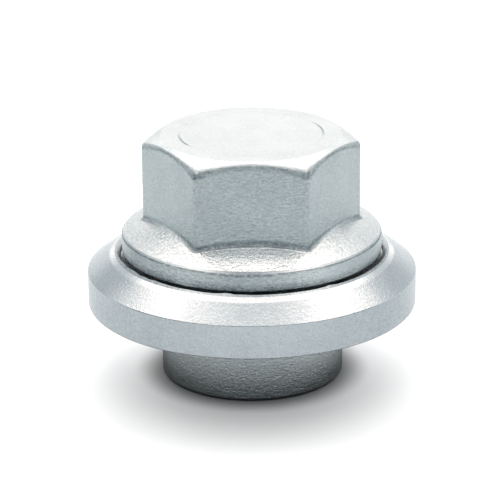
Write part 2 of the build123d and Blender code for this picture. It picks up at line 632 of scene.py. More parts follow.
@dataclass
class Skin:
    """A grid of points that becomes one closed mesh.

    Attributes:
        name: the piece's name.
        points: rows by columns by three, in millimetres.
        normals: an outward unit vector for each point.
        values: each attribute's value at each point.
        ring: True where the last row joins the first, False where both ends close on the axis.
    """

    name: str
    points: np.ndarray
    normals: np.ndarray
    values: dict[str, np.ndarray]
    ring: bool

    @classmethod
    def revolve(cls, name: str, section: Section, angles: np.ndarray, ring: bool) -> "Skin":
        """Carries a section round the axis.

        The point of row i and column j is (r cos a, r sin a, z) with a the column's angle. Its
        normal is the section's direction crossed with the direction from the column before to
        the column after.

        Args:
            name: the piece's name.
            section: the traced section.
            angles: angle of each column, rising.
            ring: True for a closed section.

        Returns:
            The skin.
        """
        cos, sin = np.cos(angles), np.sin(angles)
        r, z = section.points[..., 0], section.points[..., 1]
        points = np.stack([r * cos, r * sin, z], -1)
        out, up = section.along[..., 0], section.along[..., 1]
        along = np.stack([out * cos, out * sin, up], -1)
        across = np.roll(points, -1, axis=1) - np.roll(points, 1, axis=1)
        on_axis = np.linalg.norm(across, axis=-1, keepdims=True) < ON_AXIS
        tangent = np.broadcast_to(np.stack([-sin, cos, 0 * sin], -1), points.shape)
        across = np.where(on_axis, tangent, across)
        normals = unit(np.cross(along, across))
        return cls(name, points, normals, {"turned": section.turned, "tone": section.tone}, ring)

    def press(self, depth: np.ndarray) -> None:
        """Moves each point inwards by a depth and tilts its normal to suit.

        The tilt is the depth's slope along the rows and along the columns, taken from the
        points on either side.

        Args:
            depth: millimetres to go in, for each point.
        """
        for axis in (0, 1):
            step = np.roll(self.points, -1, axis) - np.roll(self.points, 1, axis)
            rise = np.roll(depth, -1, axis) - np.roll(depth, 1, axis)
            if axis == 0:
                rise[0] = rise[-1] = 0
            square = (step**2).sum(-1)
            slope = np.divide(rise, square, out=np.zeros_like(rise), where=square > NO_STEP)
            self.normals = self.normals + step * slope[..., None]
        self.normals = unit(self.normals)
        self.points = self.points - self.normals * depth[..., None]

    def mesh(self) -> bpy.types.Mesh:
        """Writes the grid into a mesh, joined at the seam and closed at the poles.

        Returns:
            The mesh, in metres, with its own normals and attributes.
        """
        rows, columns = self.points.shape[:2]
        index = np.arange(rows * columns).reshape(rows, columns)
        below = np.roll(index, -1, axis=0)
        if not self.ring:
            index, below = index[1:-2], index[2:-1]
        right, below_right = np.roll(index, -1, axis=1), np.roll(below, -1, axis=1)
        quads = np.stack([index, below, below_right, right], -1).reshape(-1, 4)
        corners = quads.ravel()
        sizes = np.full(len(quads), 4)
        points = self.points.reshape(-1, 3)
        normals = self.normals.reshape(-1, 3)
        values = {name: value.ravel() for name, value in self.values.items()}
        if not self.ring:
            top, bottom = index[0], below[-1]
            first = np.stack([np.zeros_like(top), top, np.roll(top, -1)], -1)
            tip = np.full_like(bottom, rows * columns - 1)
            last = np.stack([tip, np.roll(bottom, -1), bottom], -1)
            corners = np.concatenate([corners, first.ravel(), last.ravel()])
            sizes = np.concatenate([sizes, np.full(2 * columns, 3)])
            used = np.unique(corners)
            renumber = np.zeros(rows * columns, int)
            renumber[used] = np.arange(len(used))
            corners = renumber[corners]
            points, normals = points[used], normals[used]
            values = {name: value[used] for name, value in values.items()}

        mesh = bpy.data.meshes.new(self.name)
        mesh.vertices.add(len(points))
        mesh.vertices.foreach_set("co", (points * MM).astype(np.float32).ravel())
        mesh.loops.add(len(corners))
        mesh.loops.foreach_set("vertex_index", corners.astype(np.int32))
        mesh.polygons.add(len(sizes))
        mesh.polygons.foreach_set("loop_start", (np.cumsum(sizes) - sizes).astype(np.int32))
        mesh.polygons.foreach_set("use_smooth", np.ones(len(sizes), bool))
        mesh.update(calc_edges=True)
        mesh.validate()
        mesh.normals_split_custom_set_from_vertices(normals.tolist())
        for name, value in values.items():
            marked = mesh.attributes.new(name, "FLOAT", "POINT")
            marked.data.foreach_set("value", value.astype(np.float32))
        return mesh


def place_piece(
    mesh: bpy.types.Mesh, finish: bpy.types.Material, body: Body, node: str | None
) -> bpy.types.Object:
    """Puts a mesh in the scene as one piece of the part.

    Args:
        mesh: the piece's mesh, already in its place.
        finish: its material.
        body: the body that it rides on.
        node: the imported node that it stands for, if any.

    Returns:
        The piece.
    """
    piece = bpy.data.objects.new(mesh.name, mesh)
    bpy.context.scene.collection.objects.link(piece)
    mesh.materials.append(finish)
    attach(piece, body.value)
    if node:
        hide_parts(node)
    LOG.info("%s: %d vertices, %d faces", piece.name, len(mesh.vertices), len(mesh.polygons))
    return piece


def slope(angle: float) -> float:
    """Tangent of an angle in degrees."""
    return math.tan(math.radians(angle))


@dataclass(frozen=True)
class Patch:
    """A place round the axis where a value differs.

    Attributes:
        amount: what it adds in its middle.
        middle: its middle in degrees, with 0 at +X and -90 at the front.
        half_width: degrees from its middle to each end, where it has faded out.
    """

    amount: float
    middle: float
    half_width: float


@dataclass(frozen=True)
class Around:
    """A value that changes round the axis.

    Attributes:
        level: the value away from every patch.
        patches: the places where it differs.
    """

    level: float
    patches: tuple[Patch, ...] = ()

    def at(self, angles: np.ndarray) -> np.ndarray:
        """Reads the value round the axis: the level, and each patch as a squared cosine.

        Args:
            angles: angles to read it at, in radians.

        Returns:
            The value at each angle.
        """
        value = np.full(angles.shape, self.level)
        for patch in self.patches:
            away = (np.degrees(angles) - patch.middle + 180) % 360 - 180
            quarter = np.clip(away / patch.half_width, -1, 1) * math.pi / 2
            value += patch.amount * np.cos(quarter) ** 2
        return value


def side_faces(amount: float, half_width: float = 34.0) -> tuple[Patch, ...]:
    """The same patch on each of the two flats beside the front one."""
    return tuple(Patch(amount, FRONT + turn, half_width) for turn in (-FLAT_TURN, FLAT_TURN))


def front_corners(left: float, right: float, half_width: float) -> tuple[Patch, ...]:
    """A patch on each of the front flat's two corners."""
    turn = FLAT_TURN / 2
    return Patch(left, FRONT - turn, half_width), Patch(right, FRONT + turn, half_width)


@dataclass
class ForgedNut:
    """The nut: hexagon head, conical flange, shank with its rolled bead, and blind bore.

    The half section runs from the crown's centre out and down the outside, and then up the bore
    to the tip of the drill point. Where it crosses the hexagon, its radius changes from column
    to column. Lengths are millimetres, angles are degrees from level, a share multiplies the
    length that it is named for, and a tone is painted light and shade on the coat, from about -1
    for painted shade to 1 for painted highlight.
    """

    finish: FlakeCoat
    height: float = field(init=False)
    flange_radius: float = field(init=False)

    # Hexagon
    across_flats: float = 22.0
    corner_round: float = 0.8
    flat_columns: int = 40
    corner_columns: int = 14
    relief_spacing: float = 2.6
    relief_depth: float = 0.02

    # Crown: its edge is sharp over the flats and rounder at the corners
    crown_inset: float = 0.6
    crown_angle: float = 27.0
    crown_edge: float = 0.06
    crown_corner: float = 0.5
    groove_radius: float = 8.3
    groove_width: float = 0.28
    groove_depth: float = 0.16
    groove_share: Around = Around(0.15, (Patch(1.0, -164, 26), Patch(1.0, 12, 26)))
    groove_edge: float = 0.05
    groove_floor: float = 0.04
    top_edge: float = 0.7
    top_corner: float = 0.8
    top_wear: Around = Around(0.0, front_corners(0.5, 0.5, 14))
    top_share: Around = Around(1.0, side_faces(-0.5))
    # Painted highlight on the chamfer over the side flats, and a painted dark line along the flats'
    # upper edge, deepest on the side flats and at the front corners.
    chamfer_tone: Around = Around(0.0, side_faces(0.8))
    top_tone: Around = Around(-0.4, front_corners(-0.45, -0.25, 8) + side_faces(-0.6))

    # Flange
    foot_fillet: float = 0.5
    foot_share: Around = Around(1.0, side_faces(-0.6))
    # Painted shade in the crease at the hexagon's foot and where the cone starts, lighter on the
    # side flats; painted highlight on the cone, most at the front.
    foot_tone: Around = Around(-0.85, side_faces(0.5))
    cone_start_tone: Around = Around(-0.55, side_faces(0.75))
    cone_tone: Around = Around(0.2, (Patch(0.65, FRONT, 66),))
    cone_angle: float = 26.4
    cone_swell: float = 0.06
    cone_round: float = 12.0
    lip_width: float = 0.42
    lip_share: Around = Around(0.55, (Patch(0.45, -93, 26),))
    lip_angle: float = 48.0
    lip_step: float = 0.03
    lip_edge: float = 0.03
    # Painted highlight on the lip, with patches of painted shade at the front and to its left and
    # right.
    lip_tone: Around = Around(
        0.3, (Patch(-0.8, -93, 24), Patch(-0.6, -152, 26), Patch(-0.6, -30, 20))
    )
    rim_height: float = 1.86
    rim_top_edge: float = 0.25
    # A painted dark line along the rim's top edge, and patches of painted light and shade round the
    # rim.
    rim_line_tone: float = -1.3
    rim_tone: Around = Around(
        0.0, (Patch(0.45, -62, 30), Patch(0.25, -118, 18), Patch(-0.35, -153, 20))
    )
    rim_foot_edge: float = 0.26
    # Painted shade along the rim's lower edge, lighter in two patches.
    rim_foot_tone: Around = Around(-0.9, (Patch(0.8, -52, 28), Patch(0.8, -120, 9)))
    flange_foot: float = 15.12
    seat_angle: float = 12.0
    # Painted shade on the seat under the flange.
    seat_tone: float = -0.9

    # Shank and bead
    shank_radius: float = 10.6
    shank_root: float = 0.4
    shank_end: float = 0.45
    # Painted light along the shank, and painted shade on its rounded end.
    shank_tone: tuple[float, float, float] = (0.2, 0.2, 0.3)
    shank_end_tone: tuple[float, float, float] = (0.2, -0.6, 0.0)
    bead_foot: float = 8.88
    bead_height: float = 0.8
    bead_proud: float = 0.45
    bead_flank: float = 0.28
    bead_edge: float = 0.1
    bead_root: float = 0.08

    # Bore
    bore_radius: float = 7.0
    bore_edge: float = 0.1
    mouth_radius: float = 8.1
    mouth_edge: float = 0.12
    tail_radius: float = 6.188
    tail_length: float = 2.0
    closed_end: float = 3.3
    drill_angle: float = 118.0
    drill_edge: float = 0.2

    def __post_init__(self) -> None:
        """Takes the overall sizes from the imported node."""
        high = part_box("nut_body")[1]
        self.height = high.z / MM
        self.flange_radius = high.x / MM

    def seat_height(self, radius: float) -> float:
        """Height of the flange's conical underside at a radius."""
        return self.flange_foot - (self.flange_radius - radius) * slope(self.seat_angle)

    def tail_top(self) -> float:
        """Height at which the bore's drilled tail ends and its drill point begins."""
        return self.height - self.closed_end - self.tail_radius / slope(self.drill_angle / 2)

    def hexagon(self) -> tuple[np.ndarray, np.ndarray]:
        """The hexagon's outline as the angle and radius of each column.

        Along a flat the points are evenly spaced at the apothem. Round a corner they turn
        evenly on an arc whose centre lies one corner radius inside both flats.

        Returns:
            Angles, rising over one turn, and radii.
        """
        apothem = self.across_flats / 2
        inner = apothem - self.corner_round
        half = inner * slope(FLAT_TURN / 2)
        run = np.linspace(-half, half, self.flat_columns, endpoint=False)
        turn = np.linspace(0, math.radians(FLAT_TURN), self.corner_columns, endpoint=False)
        flat = np.full(self.flat_columns, apothem)
        out = np.concatenate([flat, inner + self.corner_round * np.cos(turn)])
        side = np.concatenate([run, half + self.corner_round * np.sin(turn)])
        flats = np.radians(FRONT + FLAT_TURN * np.arange(HEX_SIDES))[:, None]
        angles = (flats + np.arctan2(side, out)).ravel()
        return angles, np.tile(np.hypot(out, side), HEX_SIDES)

    def head(self, angles: np.ndarray, hexagon: np.ndarray) -> list[Corner]:
        """The level top with its groove, the turned chamfer and the flats.

        The chamfer is a cone: its foot falls with the hexagon's radius beyond the level top's
        edge, so it meets each flat in an arc.

        Args:
            angles: the angle of each column.
            hexagon: the hexagon's radius at each column.

        Returns:
            The corners from the crown's centre to the flats' upper edge.
        """
        top = self.height
        level = self.across_flats / 2 - self.crown_inset
        chamfer = top - (hexagon - level) * slope(self.crown_angle)
        groove = self.groove_depth * self.groove_share.at(angles)
        half_groove = self.groove_width / 2
        corner = (hexagon - hexagon.min()) / np.ptp(hexagon)
        crown_edge = self.crown_edge + (self.crown_corner - self.crown_edge) * corner
        top_edge = self.top_edge + (self.top_corner - self.top_edge) * corner
        top_edge = (top_edge + self.top_wear.at(angles)) * self.top_share.at(angles)
        # Painted highlight on the chamfer and painted shade along the flats' upper edge.
        highlight_share = self.chamfer_tone.at(angles)
        top_arc_shade = self.top_tone.at(angles)
        return [
            Corner(0.0, top, run=6),
            Corner(self.groove_radius - half_groove, top, self.groove_edge, 3),
            Corner(self.groove_radius, top - groove, self.groove_floor, 3),
            Corner(self.groove_radius + half_groove, top, self.groove_edge, 3, 4),
            Corner(level, top, crown_edge, 6, 3, tone=(0.0, highlight_share, highlight_share)),
            Corner(hexagon, chamfer, top_edge, 6, 26, Surface.FORGED, (highlight_share, top_arc_shade, 0.0)),
        ]

    def flange(self, angles: np.ndarray, hexagon: np.ndarray) -> list[Corner]:
        """The swelling cone, the narrow lip round it, the rim and the seat under it.

        The cone climbs at its angle from the lip to the hexagon. Its middle is raised by the
        swell times the square of its width there over its greatest width.

        Args:
            angles: the angle of each column.
            hexagon: the hexagon's radius at each column.

        Returns:
            The corners from the hexagon's foot to the rim's foot.
        """
        lip_width = self.lip_width * self.lip_share.at(angles)
        lip_top = self.flange_foot + self.rim_height + self.lip_width * slope(self.lip_angle)
        rim_top = lip_top - lip_width * slope(self.lip_angle)
        rim = self.flange_radius
        lip = rim - lip_width
        cone_width = lip - hexagon
        cone_foot = lip_top + self.lip_step
        cone = cone_foot + cone_width * slope(self.cone_angle)
        swell = self.cone_swell * (cone_width / cone_width.max()) ** 2
        middle = (lip + hexagon) / 2, (cone_foot + cone) / 2 + swell
        forged = Surface.FORGED
        foot_fillet = self.foot_fillet * self.foot_share.at(angles)
        # Painted light and shade on the foot crease, the cone, the lip, the rim and the seat.
        foot_tone = self.foot_tone.at(angles)
        start_tone = self.cone_start_tone.at(angles)
        cone_tone = self.cone_tone.at(angles)
        lip_tone = self.lip_tone.at(angles)
        rim_tones = (self.rim_line_tone,) + (self.rim_tone.at(angles),) * 2
        seat_tones = (self.rim_foot_tone.at(angles),) + (self.seat_tone,) * 2
        return [
            Corner(hexagon, cone, foot_fillet, 5, 5, forged, (foot_tone, start_tone, cone_tone)),
            Corner(*middle, self.cone_round, 6, 5, forged, (cone_tone,) * 3),
            Corner(lip, cone_foot, self.lip_edge, 3, tone=(cone_tone, lip_tone, lip_tone)),
            Corner(lip, lip_top, self.lip_edge, 3, 2, tone=(lip_tone,) * 3),
            Corner(rim, rim_top, self.rim_top_edge, 4, 2, forged, rim_tones),
            Corner(rim, self.flange_foot, self.rim_foot_edge, 5, 6, tone=seat_tones),
        ]

    def shank(self) -> list[Corner]:
        """The shank from its root under the flange, past the bead, to its end.

        Returns:
            The corners down the outside.
        """
        radius = self.shank_radius
        bead = radius + self.bead_proud
        top = self.bead_foot + self.bead_height
        foot = self.bead_foot
        return [
            Corner(radius, self.seat_height(radius), self.shank_root, 4, 5),
            Corner(radius, top, self.bead_root, 3),
            Corner(bead, top - self.bead_flank, self.bead_edge, 3),
            Corner(bead, foot + self.bead_flank, self.bead_edge, 3),
            # Painted light along the shank and painted shade on its rounded end.
            Corner(radius, foot, self.bead_root, 3, 14, Surface.BLASTED, self.shank_tone),
            Corner(radius, 0.0, self.shank_end, 6, 3, tone=self.shank_end_tone),
        ]

    def bore(self) -> list[Corner]:
        """The bore from its mouth chamfer up the thread's wall and the tail to the drill point.

        Returns:
            The corners up the inside.
        """
        wall = self.bore_radius
        tail = self.tail_radius
        tail_foot = self.tail_top() - self.tail_length
        return [
            Corner(self.mouth_radius, 0.0, self.mouth_edge, 3, 2),
            Corner(wall, self.mouth_radius - wall, self.bore_edge, 3, 6),
            Corner(wall, tail_foot - (wall - tail), self.bore_edge, 3),
            Corner(tail, tail_foot, self.bore_edge, 3, 2),
            Corner(tail, self.tail_top(), self.drill_edge, 3, 4),
            Corner(0.0, self.height - self.closed_end),
        ]

    def build(self) -> bpy.types.Object:
        """Builds and dresses the nut.

        Returns:
            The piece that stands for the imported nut.
        """
        angles, hexagon = self.hexagon()
        outside = self.head(angles, hexagon) + self.flange(angles, hexagon) + self.shank()
        section = Section.trace(outside + self.bore(), len(angles), ring=False)
        skin = Skin.revolve("forged_nut", section, angles, ring=False)
        uneven = wave_relief(skin.points, self.relief_spacing, seed=7)
        forged = 1 - section.turned
        skin.press(forged * self.relief_depth * np.clip(0.5 + 0.5 * uneven, 0, 1))
        return place_piece(
            skin.mesh(), self.finish.material(), Body.NUT, "nut_body"
        )


@dataclass
class BoreThread:
    """The right-hand metric thread, M14 by 1.5, as the ridge that stands on the bore's wall.

    The ridge is the basic internal profile: flanks at 30 degrees to the radius, a crest a quarter
    of the pitch wide and a root an eighth of it wide. The mouth's chamfer cuts its start, and
    its other end runs into the narrowing of the bore.

    Attributes:
        nut: the nut that it is cut in.
        pitch: millimetres for each turn.
        flank_angle: degrees from each flank to the radius.
        sink: how far the ridge's foot reaches into the wall, so that no slit shows.
        lowest: height below which none of it reaches.
        start: height of its first middle, in the mouth's chamfer.
        crest_gap: how much further out its crest lies than the wall of the drilled tail.
        crest_soft: how far down the flanks the crest is eased.
        crest_spread: how much it widens while it is eased, as a share of that.
        mouth_sink: how far its start is sunk behind the mouth's chamfer.
        turn_steps: steps for each turn.
    """

    nut: ForgedNut
    pitch: float = 1.5
    flank_angle: float = 30.0
    sink: float = 0.04
    lowest: float = 0.04
    start: float = 0.4
    crest_gap: float = 0.012
    crest_soft: float = 0.06
    crest_spread: float = 0.4
    mouth_sink: float = 0.03
    turn_steps: int = 60

    def build(self, finish: bpy.types.Material) -> bpy.types.Object:
        """Sweeps the ridge's section along a helix.

        The helix climbs one pitch a turn anticlockwise seen from above. A point of the section
        at radius r and offset w from the ridge's middle lands at (r cos a, r sin a, start +
        pitch a / turn + w), and is pushed out to the chamfer's cone where that is wider.

        Args:
            finish: the nut's material.

        Returns:
            The piece.
        """
        nut, soft = self.nut, self.crest_soft
        crest = nut.tail_radius + self.crest_gap
        crest_half = self.pitch / 8
        base = nut.bore_radius + self.sink
        base_half = self.pitch * 7 / 16 + self.sink * slope(self.flank_angle)
        eased_half = crest_half + self.crest_spread * soft
        r = np.array([base, crest + soft, crest, crest, crest + soft, base])
        w = np.array([base_half, eased_half, crest_half - soft])
        w = np.concatenate([w, -w[::-1]])
        end = nut.tail_top() - nut.tail_length + self.pitch / 2
        turns = (end - self.start) / self.pitch
        angle = np.linspace(0, turns * TURN, round(turns * self.turn_steps))
        z = np.maximum(self.start + self.pitch * angle / TURN + w[:, None], self.lowest)
        radius = np.maximum(r[:, None], nut.mouth_radius - z + self.mouth_sink)
        points = np.stack([radius * np.cos(angle), radius * np.sin(angle), z], -1)
        rows, columns = points.shape[:2]
        index = np.arange(rows * columns).reshape(rows, columns)
        below = np.roll(index, -1, axis=0)
        quads = np.stack([index[:, :-1], index[:, 1:], below[:, 1:], below[:, :-1]], -1)
        caps = [index[:, 0].tolist(), index[::-1, -1].tolist()]
        faces = quads.reshape(-1, 4).tolist() + caps
        mesh = bpy.data.meshes.new("bore_thread")
        mesh.from_pydata((points.reshape(-1, 3) * MM).tolist(), [], faces)
        mesh.polygons.foreach_set("use_smooth", np.zeros(len(mesh.polygons), bool))
        marked = mesh.attributes.new("turned", "FLOAT", "POINT")
        marked.data.foreach_set("value", np.ones(len(mesh.vertices), np.float32))
        return place_piece(mesh, finish, Body.NUT, None)


@dataclass
class CaptiveWasher:
    """The loose ring: flat foot, upright wall, wide bevel, shoulder, ledge and dished seat.

    Its closed half section runs from the burr on its crest out over the shoulder and the bevel,
    down the wall, in along the underside, up the pocket and the bore, out along the seat and
    over the ledge. Lengths are millimetres, angles are degrees from level, and tones are painted
    light and shade on the coat, from about -1 for painted shade to 1 for painted highlight.
    """

    finish: FlakeCoat
    radius: float = field(init=False)
    foot: float = field(init=False)
    crest_top: float = field(init=False)
    columns: int = 360

    # Wall and bevel
    wall_height: float = 3.95
    wall_edge: float = 0.16
    # Painted shade on the wall, less at the front.
    wall_tone: Around = Around(-0.28, (Patch(0.18, FRONT, 65),))
    foot_edge: float = 0.18
    bevel_angle: float = 36.0
    shoulder_radius: float = 16.65
    shoulder_round: float = 1.8

    # Crest, with the ragged burr that the turning tool left on its inner edge
    crest_radius: float = 15.95
    crest_edge: float = 0.04
    # Painted highlight on the crest, with faint painted shade at the front; painted shade on the
    # ledge and the burr.
    crest_tone: Around = Around(0.5, (Patch(-0.6, FRONT, 80),))
    ledge_step: float = 0.05
    ledge_edge: float = 0.06
    ledge_tone: float = -0.4
    rim_gap: float = 0.15
    burr_low: float = 0.24
    burr_rise: float = 0.15
    burr_angle: float = 50.0
    burr_edge: float = 0.02
    burr_spacing: float = 1.6
    burr_evenness: float = 0.7
    burr_waviness: float = 0.6
    burr_share: Around = Around(
        0.0, (Patch(1.0, -99, 10), Patch(0.7, -145, 48), Patch(0.8, -55, 8))
    )

    # Seat, bore and pocket, each with its gap to the nut
    seat_gap: float = 0.8
    seat_edge: float = 0.05
    bore_gap: float = 0.2
    bore_edge: float = 0.4
    pocket_gap: float = 0.25
    pocket_top_gap: float = 0.1
    pocket_edge: float = 0.05
    mouth_edge: float = 0.3

    def __post_init__(self) -> None:
        """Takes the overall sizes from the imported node."""
        low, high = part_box("captive_washer")
        self.radius = high.x / MM
        self.foot = low.z / MM
        self.crest_top = high.z / MM

    def burr(self, angles: np.ndarray) -> np.ndarray:
        """Height of the burr over the ledge: a low one all round and ragged patches on it.

        The rise is multiplied by the patches' share and by waves along the crest, each held
        between 0 and 1.

        Args:
            angles: the angle of each column.

        Returns:
            The height at each angle.
        """
        crest = np.stack([np.cos(angles), np.sin(angles), 0 * angles], -1) * self.crest_radius
        waves = wave_relief(crest, self.burr_spacing, seed=3)
        ragged = np.clip(self.burr_evenness + self.burr_waviness * waves, 0, 1)
        share = np.clip(self.burr_share.at(angles), 0, 1)
        return self.burr_low + self.burr_rise * share * ragged

    def section(self, nut: ForgedNut, angles: np.ndarray) -> Section:
        """Traces the washer's closed half section.

        Args:
            nut: the nut that it hangs on.
            angles: the angle of each column.

        Returns:
            The section.
        """
        wall_top = self.foot + self.wall_height
        shoulder_top = wall_top + (self.radius - self.shoulder_radius) * slope(self.bevel_angle)
        ledge = self.crest_top - self.ledge_step
        rim = nut.flange_radius + self.rim_gap
        bore = nut.shank_radius + self.bore_gap
        pocket = nut.shank_radius + nut.bead_proud + self.pocket_gap
        pocket_top = nut.bead_foot + nut.bead_height + self.pocket_top_gap
        rim_seat, bore_seat = (nut.seat_height(radius) - self.seat_gap for radius in (rim, bore))
        burr = self.burr(angles)
        burr_radius = self.crest_radius - burr / slope(self.burr_angle)
        # Painted shade on the ledge and the burr, painted light and shade on the crest and the
        # wall.
        ledge_shading = (self.ledge_tone,) * 3
        crest_tones = (self.ledge_tone,) + (self.crest_tone.at(angles),) * 2
        wall_tone = self.wall_tone.at(angles)
        corners = [
            Corner(burr_radius, ledge + burr, self.burr_edge, 2, tone=ledge_shading),
            Corner(self.crest_radius, self.crest_top, self.crest_edge, 3, 4, tone=crest_tones),
            Corner(self.shoulder_radius, shoulder_top, self.shoulder_round, 6, 10),
            Corner(self.radius, wall_top, self.wall_edge, 5, 10, tone=(0.0, wall_tone, wall_tone)),
            Corner(self.radius, self.foot, self.foot_edge, 5, 8, tone=(wall_tone, 0.0, 0.0)),
            Corner(pocket, self.foot, self.mouth_edge, 4),
            Corner(pocket, pocket_top, self.pocket_edge, 2),
            Corner(bore, pocket_top, self.pocket_edge, 2, 3),
            Corner(bore, bore_seat, self.bore_edge, 4, 4),
            Corner(rim, rim_seat, self.seat_edge, 3),
            Corner(rim, ledge, self.ledge_edge, 3, 4, tone=ledge_shading),
        ]
        return Section.trace(corners, self.columns, ring=True)

    def build(self, nut: ForgedNut) -> bpy.types.Object:
        """Builds and dresses the washer.

        Args:
            nut: the nut that it hangs on.

        Returns:
            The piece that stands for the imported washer.
        """
        angles = np.arange(self.columns) * TURN / self.columns
        skin = Skin.revolve("turned_washer", self.section(nut, angles), angles, ring=True)
        return place_piece(
            skin.mesh(), self.finish.material(), Body.WASHER, "captive_washer"
        )


@dataclass(frozen=True)
class Panel:
    """A flat rectangle of the studio that faces the part.

    Attributes:
        name: its name.
        bearing: degrees from straight behind the part, to the right as the camera sees it.
        elevation: degrees above the horizon, seen from the part.
        distance: millimetres from the part.
        width: its level side, in millimetres.
        depth: its other side, in millimetres.
        colour: its colour.
    """

    name: str
    bearing: float
    elevation: float
    distance: float
    width: float
    depth: float
    colour: str = WHITE

    def pose(self) -> Matrix:
        """Its place and turn, in metres, with its face along -Z and its width level.

        Returns:
            The matrix that puts it there.
        """
        around, up = math.radians(self.bearing), math.radians(self.elevation)
        level = Vector((math.sin(around), math.cos(around), 0.0))
        out = level * math.cos(up) + Vector((0.0, 0.0, math.sin(up)))
        turn = (-out).to_track_quat("-Z", "Y").to_matrix().to_4x4()
        return Matrix.Translation(out * self.distance * MM) @ turn


@dataclass(frozen=True)
class Softbox(Panel):
    """A panel that shines, seen by reflections only. The surround lights the floor.

    Attributes:
        radiance: how bright its face is, with 1 for white.
    """

    radiance: float = 1.0

    def hang(self) -> None:
        """Adds the lamp. An area lamp's face has a quarter of its watts for each square metre."""
        lamp = bpy.data.lights.new(self.name, "AREA")
        lamp.shape = "RECTANGLE"
        lamp.size = self.width * MM
        lamp.size_y = self.depth * MM
        lamp.energy = 4 * self.radiance * lamp.size * lamp.size_y
        lamp.color = srgb(self.colour)[:3]
        holder = bpy.data.objects.new(self.name, lamp)
        holder.matrix_world = self.pose()
        holder.visible_camera = False
        holder.visible_diffuse = False
        bpy.context.scene.collection.objects.link(holder)


@dataclass(frozen=True)
class Card(Panel):
    """A grey or pale card that only reflections see, so that the coat grades from light to dark."""

    def stand(self) -> None:
        """Adds the card, which shows its colour whatever light falls on it.

        Its four corners lie half its width and half its depth from its middle.
        """
        corners = [
            self.pose() @ Vector((x * self.width / 2 * MM, y * self.depth / 2 * MM, 0))
            for x, y in ((-1, -1), (1, -1), (1, 1), (-1, 1))
        ]
        mesh = bpy.data.meshes.new(self.name)
        mesh.from_pydata(corners, [], [(0, 1, 2, 3)])
        board = bpy.data.materials.new(self.name)
        tree = clear_tree(board)
        glow = add_node(tree, "ShaderNodeEmission", {"Color": srgb(self.colour), "Strength": 1.0})
        add_node(tree, "ShaderNodeOutputMaterial", {"Surface": glow.outputs["Emission"]})
        mesh.materials.append(board)
        card = bpy.data.objects.new(self.name, mesh)
        bpy.context.scene.collection.objects.link(card)
        card.visible_camera = False
        card.visible_diffuse = False
        card.visible_shadow = False


@dataclass(frozen=True)
class ContactShade:
    """The soft shade on the paper close to the nut.

    Attributes:
        near: millimetres from its middle to where it is deepest.
        far: millimetres from its middle to where it ends.
        deepest: share of the paper's colour that is left at its deepest.
        lean: millimetres that its middle lies to the left of the axis.
    """

    near: float
    far: float
    deepest: float
    lean: float = 0.0


@dataclass(frozen=True)
class MattPaper:
    """White paper without any shine, and clear from below so that the underside shows.

    Close to the nut it is shaded as the contact shadow reads in the picture, and reflections in
    the shank see that shade wider.

    Attributes:
        seen: its colour as the camera sees it.
        reflected: its colour as reflections and other light see it.
        shade_seen: the contact shade that everything sees.
        shade_reflected: the wider shade that reflections see as well.
    """

    seen: str = "#EEEEEE"
    reflected: str = "#CDCDCD"
    shade_seen: ContactShade = ContactShade(10.2, 14.2, 0.29)
    shade_reflected: ContactShade = ContactShade(10.6, 30.0, 0.09, lean=0.7)

    def material(self) -> bpy.types.Material:
        """Builds the paper's material.

        Returns:
            The material, shaded by the distance from the nut's axis on Object coordinates.
        """
        pale = bpy.data.materials.new("matt_paper")
        tree = clear_tree(pale)
        place = add_node(tree, "ShaderNodeTexCoord").outputs["Object"]
        shade = 1.0
        papers = []
        for colour, contact in (
            (self.seen, self.shade_seen),
            (self.reflected, self.shade_reflected),
        ):
            centred = add_node(
                tree,
                "ShaderNodeVectorMath",
                {0: place, 1: (contact.lean * MM, 0.0, 0.0)},
                operation="ADD",
            ).outputs["Vector"]
            distance = add_node(
                tree, "ShaderNodeVectorMath", {0: centred}, operation="LENGTH"
            ).outputs["Value"]
            fade = add_node(
                tree,
                "ShaderNodeMapRange",
                {
                    "Value": distance,
                    "From Min": contact.near * MM,
                    "From Max": contact.far * MM,
                    "To Min": contact.deepest,
                    "To Max": 1.0,
                },
                interpolation_type="SMOOTHSTEP",
            ).outputs["Result"]
            shade = add_node(
                tree, "ShaderNodeMath", {0: shade, 1: fade}, operation="MULTIPLY"
            ).outputs["Value"]
            papers.append(
                add_node(
                    tree,
                    "ShaderNodeVectorMath",
                    {0: srgb(colour)[:3], "Scale": shade},
                    operation="SCALE",
                ).outputs["Vector"]
            )
        camera_ray = add_node(tree, "ShaderNodeLightPath").outputs["Is Camera Ray"]
        tone = add_node(
            tree,
            "ShaderNodeMix",
            {"Factor": camera_ray, "A": papers[1], "B": papers[0]},
            data_type="VECTOR",
        ).outputs["Result"]
        paper = add_node(tree, "ShaderNodeBsdfDiffuse", {"Color": tone})
        clear = add_node(tree, "ShaderNodeBsdfTransparent")
        below = add_node(tree, "ShaderNodeNewGeometry").outputs["Backfacing"]
        mixed = add_node(
            tree,
            "ShaderNodeMixShader",
            {0: below, 1: paper.outputs["BSDF"], 2: clear.outputs["BSDF"]},
        )
        add_node(tree, "ShaderNodeOutputMaterial", {"Surface": mixed.outputs["Shader"]})
        return pale


